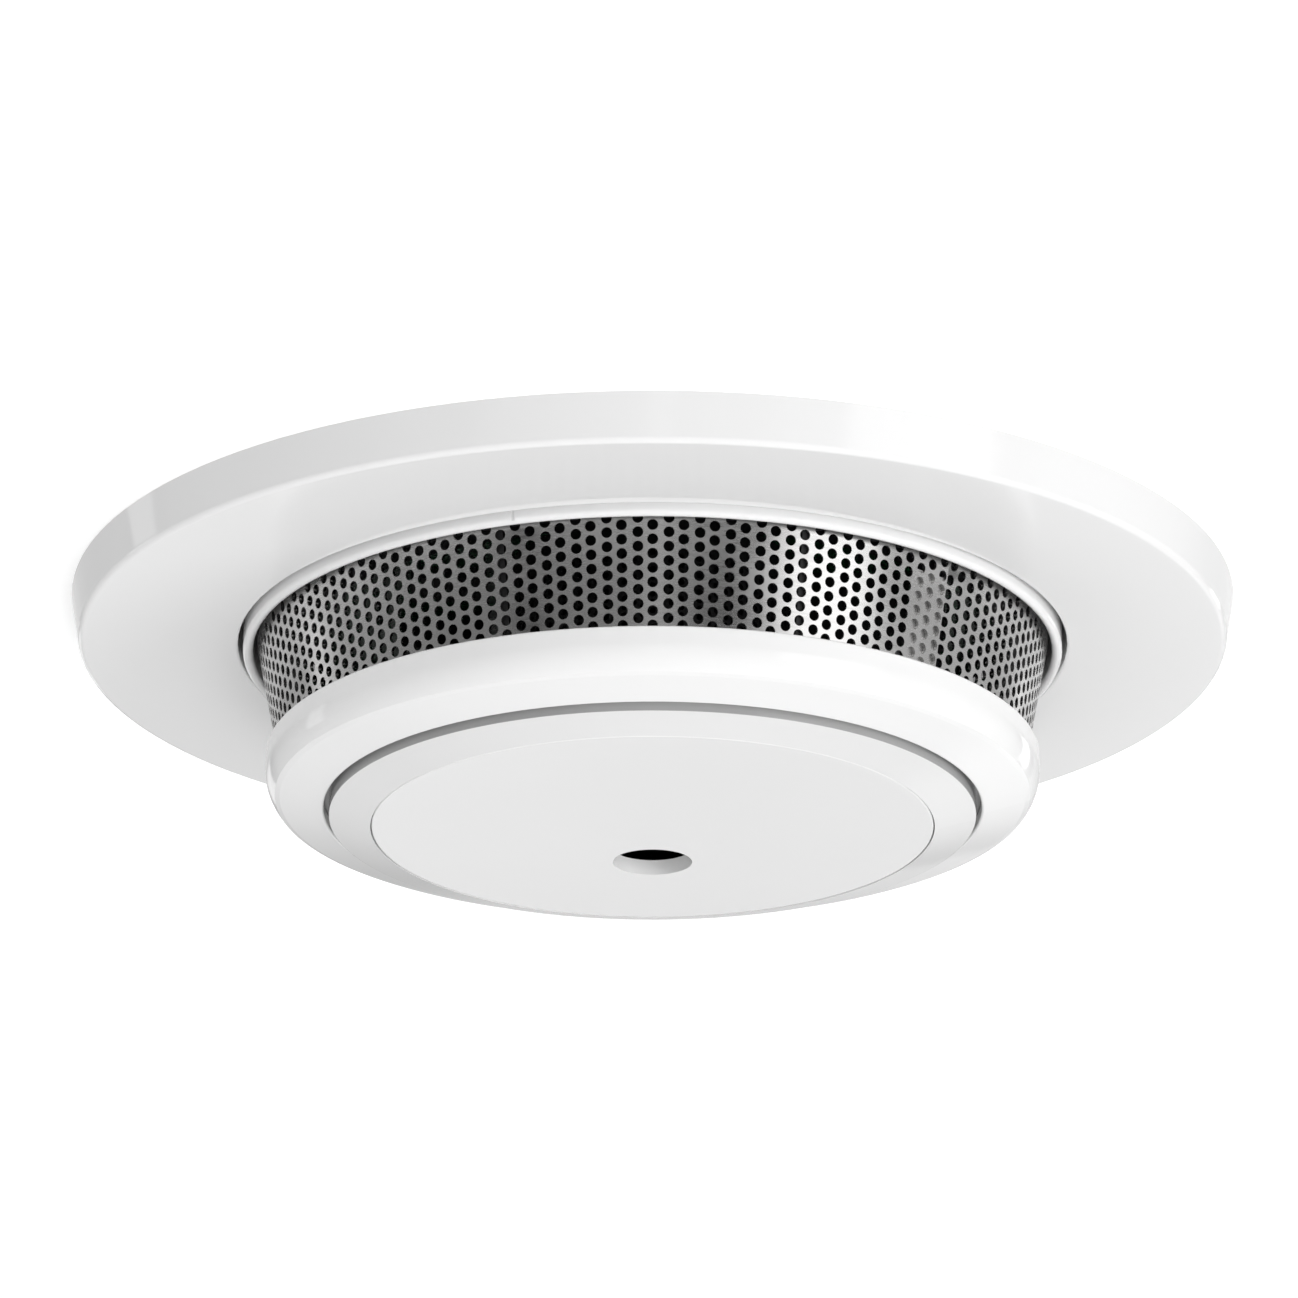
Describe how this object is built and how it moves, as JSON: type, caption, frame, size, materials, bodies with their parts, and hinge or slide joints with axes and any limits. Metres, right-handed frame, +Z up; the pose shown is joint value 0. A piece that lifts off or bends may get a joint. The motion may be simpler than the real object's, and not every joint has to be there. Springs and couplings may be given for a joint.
{
  "type": "smoke alarm",
  "caption": "Round white ceiling smoke alarm in a flush trim ring, with a perforated steel smoke inlet band, a stepped cap and a push-to-test underside.",
  "frame": {"origin": "centre of the trim ring's ring-shaped face that touches the ceiling", "axes": "+Z up into the ceiling along the alarm's axis; the sound outlet is behind the centre, towards +Y"},
  "size_m": [0.166, 0.166, 0.0668],
  "materials": {
    "white_gloss": "gloss",
    "grey_plastic": "matte",
    "white_matte": "satin",
    "black_plastic": "matte",
    "zinc_steel": "satin",
    "grille_steel": "satin",
    "rubber": "matte",
    "brass": "satin",
    "board_green": "satin",
    "cell_blue": "gloss",
    "sleeve_blue": "gloss",
    "optic_clear": "gloss",
    "optic_dark": "gloss",
    "led_red": "gloss",
    "switch_orange": "satin",
    "bead_amber": "gloss"
  },
  "bodies": {
    "housing": {"trim_flange": "white_gloss", "recess_can": "grey_plastic", "rim_screws": "zinc_steel", "cable_gland": "rubber", "clip_brackets": "zinc_steel", "clip_pins": "zinc_steel", "base_plate": "white_matte", "base_screws": "zinc_steel", "terminal_block": "white_matte", "terminal_screws": "brass", "base_contacts": "brass"},
    "clip_1": {"clip_arm_1": "zinc_steel", "clip_spring_1": "zinc_steel", "clip_pad_1": "rubber"},
    "clip_2": {"clip_arm_2": "zinc_steel", "clip_spring_2": "zinc_steel", "clip_pad_2": "rubber"},
    "clip_3": {"clip_arm_3": "zinc_steel", "clip_spring_3": "zinc_steel", "clip_pad_3": "rubber"},
    "head": {"chassis": "white_gloss", "head_contacts": "brass", "circuit_board": "board_green", "board_screws": "zinc_steel", "chamber_base": "black_plastic", "smoke_labyrinth": "black_plastic", "insect_screen": "black_plastic", "ir_emitter": "optic_clear", "photodiode": "optic_dark", "sounder_housing": "black_plastic", "piezo_disc": "brass", "battery_cradle": "black_plastic", "battery_cell": "cell_blue", "battery_contacts": "zinc_steel", "test_switch": "black_plastic", "status_led": "led_red", "controller_chips": "black_plastic", "capacitors": "sleeve_blue", "thermistor": "bead_amber"},
    "plunger": {"switch_plunger": "switch_orange"},
    "cover": {"cover_cage": "black_plastic", "grille": "grille_steel", "cap_ring": "white_gloss", "button_springs": "zinc_steel"},
    "test_button": {"button_bezel": "white_gloss", "button_disc": "white_gloss", "light_guide": "optic_clear"}
  },
  "joints": [
    {"name": "clip_1_fold", "type": "hinge", "parent": "housing", "child": "clip_1", "pos_m": [0.05889, 0.034, 0.0175], "axis": [0.5, -0.866, 0], "range_deg": [0, 85], "stiffness_Nm_per_rad": 0.05, "springref_deg": -34.38},
    {"name": "clip_2_fold", "type": "hinge", "parent": "housing", "child": "clip_2", "pos_m": [-0.05889, 0.034, 0.0175], "axis": [0.5, 0.866, 0], "range_deg": [0, 85], "stiffness_Nm_per_rad": 0.05, "springref_deg": -34.38},
    {"name": "clip_3_fold", "type": "hinge", "parent": "housing", "child": "clip_3", "pos_m": [0, -0.068, 0.0175], "axis": [-1, 0, 0], "range_deg": [0, 85], "stiffness_Nm_per_rad": 0.05, "springref_deg": -34.38},
    {"name": "head_twist", "type": "hinge", "parent": "housing", "child": "head", "pos_m": [0, 0, 0], "axis": [0, 0, -1], "range_deg": [0, 24]},
    {"name": "cover_pull", "type": "slide", "parent": "head", "child": "cover", "axis": [0, 0, -1], "range_m": [0, 0.03]},
    {"name": "button_press", "type": "slide", "parent": "cover", "child": "test_button", "axis": [0, 0, 1], "range_m": [0, 0.001], "stiffness_N_per_m": 600, "springref_m": -0.003, "deforming": ["button_springs"]},
    {"name": "switch_travel", "type": "slide", "parent": "head", "child": "plunger", "axis": [0, 0, 1], "range_m": [0, 0.001]}
  ],
  "couplings": [
    {"joint": "switch_travel", "follows": "button_press", "ratio": 1}
  ]
}
